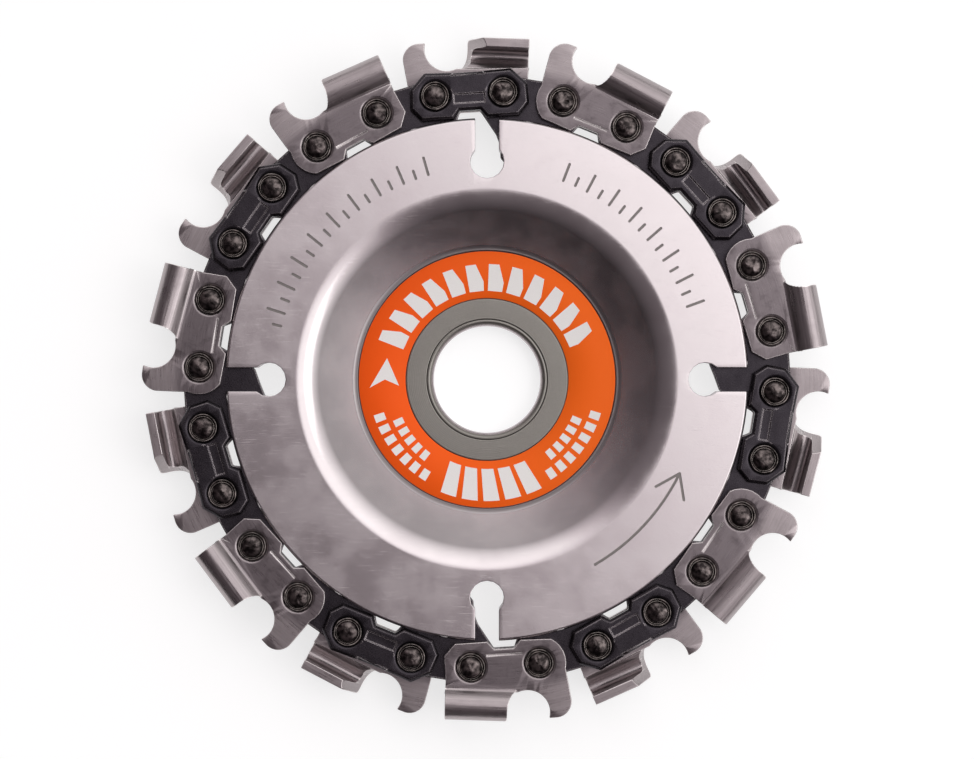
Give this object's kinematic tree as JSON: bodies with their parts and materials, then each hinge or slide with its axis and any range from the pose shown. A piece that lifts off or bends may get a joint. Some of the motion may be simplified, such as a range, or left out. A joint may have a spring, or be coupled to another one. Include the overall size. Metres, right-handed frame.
{
  "type": "angle grinder carving disc",
  "caption": "Chain carving disc for an angle grinder: two dished steel plates grip a closed loop of saw chain at the rim, with keyhole slots, a collared bore and a ring label.",
  "frame": {"origin": "centre of the spindle bore on the hub's back face", "axes": "+Z along the bore towards the labelled front; +Y is up with the front seen straight on"},
  "size_m": [0.1018, 0.101, 0.0103],
  "materials": {
    "plate_steel": "satin bare steel",
    "label_film": "printed film",
    "cutter_steel": "satin grey plated steel",
    "blued_steel": "dark blued steel",
    "rivet_steel": "dark bronze oxide"
  },
  "bodies": {
    "back_plate": {"back_plate": "plate_steel"},
    "front_plate": {"front_plate": "plate_steel", "label": "label_film"},
    "chain": {"leading_rivets": "rivet_steel", "drive_link_01": "blued_steel", "drive_link_02": "blued_steel", "drive_link_03": "blued_steel", "drive_link_04": "blued_steel", "drive_link_05": "blued_steel", "drive_link_06": "blued_steel", "drive_link_07": "blued_steel", "drive_link_08": "blued_steel", "drive_link_09": "blued_steel", "drive_link_10": "blued_steel", "drive_link_11": "blued_steel", "drive_link_12": "blued_steel", "drive_link_13": "blued_steel", "drive_link_14": "blued_steel"},
    "link_01": {"cutter_01": "cutter_steel", "tie_strap_01": "blued_steel", "trailing_rivet_01": "rivet_steel"},
    "link_02": {"cutter_02": "cutter_steel", "tie_strap_02": "blued_steel", "trailing_rivet_02": "rivet_steel"},
    "link_03": {"cutter_03": "cutter_steel", "tie_strap_03": "blued_steel", "trailing_rivet_03": "rivet_steel"},
    "link_04": {"cutter_04": "cutter_steel", "tie_strap_04": "blued_steel", "trailing_rivet_04": "rivet_steel"},
    "link_05": {"cutter_05": "cutter_steel", "tie_strap_05": "blued_steel", "trailing_rivet_05": "rivet_steel"},
    "link_06": {"cutter_06": "cutter_steel", "tie_strap_06": "blued_steel", "trailing_rivet_06": "rivet_steel"},
    "link_07": {"cutter_07": "cutter_steel", "tie_strap_07": "blued_steel", "trailing_rivet_07": "rivet_steel"},
    "link_08": {"cutter_08": "cutter_steel", "tie_strap_08": "blued_steel", "trailing_rivet_08": "rivet_steel"},
    "link_09": {"cutter_09": "cutter_steel", "tie_strap_09": "blued_steel", "trailing_rivet_09": "rivet_steel"},
    "link_10": {"cutter_10": "cutter_steel", "tie_strap_10": "blued_steel", "trailing_rivet_10": "rivet_steel"},
    "link_11": {"cutter_11": "cutter_steel", "tie_strap_11": "blued_steel", "trailing_rivet_11": "rivet_steel"},
    "link_12": {"cutter_12": "cutter_steel", "tie_strap_12": "blued_steel", "trailing_rivet_12": "rivet_steel"},
    "link_13": {"cutter_13": "cutter_steel", "tie_strap_13": "blued_steel", "trailing_rivet_13": "rivet_steel"},
    "link_14": {"cutter_14": "cutter_steel", "tie_strap_14": "blued_steel", "trailing_rivet_14": "rivet_steel"}
  },
  "joints": [
    {"name": "front_plate_lift", "type": "slide", "parent": "back_plate", "child": "front_plate", "axis": [0, 0, 1], "range_m": [0, 0.025]},
    {"name": "chain_slip", "type": "hinge", "parent": "back_plate", "child": "chain", "pos_m": [0, 0, 0], "axis": [0, 0, 1], "continuous": true},
    {"name": "link_01_rock", "type": "hinge", "parent": "chain", "child": "link_01", "pos_m": [0.01121, 0.04103, 0.0068], "axis": [0, 0, 1], "range_deg": [-0.5, 0.5]},
    {"name": "link_02_rock", "type": "hinge", "parent": "chain", "child": "link_02", "pos_m": [-0.0077, 0.04183, 0.0068], "axis": [0, 0, 1], "range_deg": [-0.5, 0.5]},
    {"name": "link_03_rock", "type": "hinge", "parent": "chain", "child": "link_03", "pos_m": [-0.02509, 0.03435, 0.0068], "axis": [0, 0, 1], "range_deg": [-0.5, 0.5]},
    {"name": "link_04_rock", "type": "hinge", "parent": "chain", "child": "link_04", "pos_m": [-0.03751, 0.02006, 0.0068], "axis": [0, 0, 1], "range_deg": [-0.5, 0.5]},
    {"name": "link_05_rock", "type": "hinge", "parent": "chain", "child": "link_05", "pos_m": [-0.0425, 0.0018, 0.0068], "axis": [0, 0, 1], "range_deg": [-0.5, 0.5]},
    {"name": "link_06_rock", "type": "hinge", "parent": "chain", "child": "link_06", "pos_m": [-0.03907, -0.01682, 0.0068], "axis": [0, 0, 1], "range_deg": [-0.5, 0.5]},
    {"name": "link_07_rock", "type": "hinge", "parent": "chain", "child": "link_07", "pos_m": [-0.0279, -0.0321, 0.0068], "axis": [0, 0, 1], "range_deg": [-0.5, 0.5]},
    {"name": "link_08_rock", "type": "hinge", "parent": "chain", "child": "link_08", "pos_m": [-0.01121, -0.04103, 0.0068], "axis": [0, 0, 1], "range_deg": [-0.5, 0.5]},
    {"name": "link_09_rock", "type": "hinge", "parent": "chain", "child": "link_09", "pos_m": [0.0077, -0.04183, 0.0068], "axis": [0, 0, 1], "range_deg": [-0.5, 0.5]},
    {"name": "link_10_rock", "type": "hinge", "parent": "chain", "child": "link_10", "pos_m": [0.02509, -0.03435, 0.0068], "axis": [0, 0, 1], "range_deg": [-0.5, 0.5]},
    {"name": "link_11_rock", "type": "hinge", "parent": "chain", "child": "link_11", "pos_m": [0.03751, -0.02006, 0.0068], "axis": [0, 0, 1], "range_deg": [-0.5, 0.5]},
    {"name": "link_12_rock", "type": "hinge", "parent": "chain", "child": "link_12", "pos_m": [0.0425, -0.0018, 0.0068], "axis": [0, 0, 1], "range_deg": [-0.5, 0.5]},
    {"name": "link_13_rock", "type": "hinge", "parent": "chain", "child": "link_13", "pos_m": [0.03907, 0.01682, 0.0068], "axis": [0, 0, 1], "range_deg": [-0.5, 0.5]},
    {"name": "link_14_rock", "type": "hinge", "parent": "chain", "child": "link_14", "pos_m": [0.0279, 0.0321, 0.0068], "axis": [0, 0, 1], "range_deg": [-0.5, 0.5]}
  ]
}
